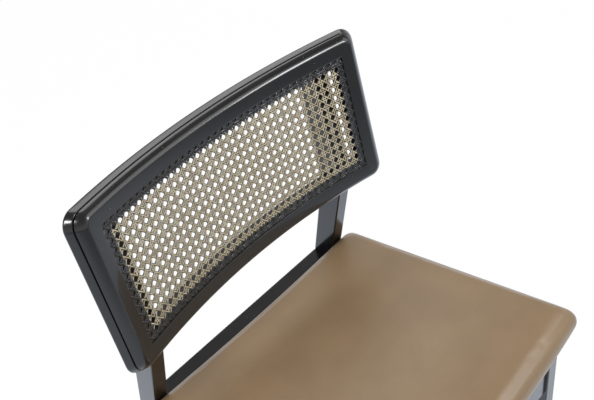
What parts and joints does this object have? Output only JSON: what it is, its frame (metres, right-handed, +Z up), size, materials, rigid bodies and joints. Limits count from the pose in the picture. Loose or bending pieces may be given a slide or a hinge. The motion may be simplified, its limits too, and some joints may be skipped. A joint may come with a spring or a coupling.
{
  "type": "upholstered dining chair",
  "caption": "Dining chair with a curved cane-panelled back frame on raked rear posts and a padded leather seat on a rail frame with straight front legs.",
  "frame": {"origin": "on the floor, below the middle of the chair's outer box", "axes": "+Z up, the chair faces -Y, +X is the sitter's left"},
  "size_m": [0.57, 0.5543, 0.8417],
  "materials": {
    "black_lacquer": "high-gloss black lacquer over hardwood",
    "cane": "natural rattan cane, its border band lacquered black",
    "leather": "smooth tan-brown leather with a soft sheen",
    "foam": "open-cell foam",
    "plywood": "raw birch plywood",
    "dust_cloth": "black nonwoven cloth",
    "raw_wood": "raw beech",
    "zinc_steel": "zinc-plated steel",
    "nylon": "black nylon"
  },
  "bodies": {
    "root": {"back_dowels": "raw_wood", "back_front_bottom_rail": "black_lacquer", "back_front_stile_left": "black_lacquer", "back_front_stile_right": "black_lacquer", "back_front_top_rail": "black_lacquer", "back_rear_bottom_rail": "black_lacquer", "back_rear_stile_left": "black_lacquer", "back_rear_stile_right": "black_lacquer", "back_rear_top_rail": "black_lacquer", "back_screws": "zinc_steel", "block_screws": "zinc_steel", "cane_panel": "cane", "corner_block_front_left": "raw_wood", "corner_block_front_right": "raw_wood", "corner_block_rear_left": "raw_wood", "corner_block_rear_right": "raw_wood", "dust_cover": "dust_cloth", "front_apron": "black_lacquer", "front_leg_left": "black_lacquer", "front_leg_right": "black_lacquer", "glide_nails": "zinc_steel", "glides": "nylon", "leather_cover": "leather", "rail_dowels": "raw_wood", "rear_post_left": "black_lacquer", "rear_post_right": "black_lacquer", "rear_rail": "black_lacquer", "screw_plugs": "black_lacquer", "seat_board": "plywood", "seat_bolts": "zinc_steel", "seat_foam": "foam", "side_rail_left": "black_lacquer", "side_rail_right": "black_lacquer", "tee_nuts": "zinc_steel", "washers": "zinc_steel"}
  },
  "joints": []
}
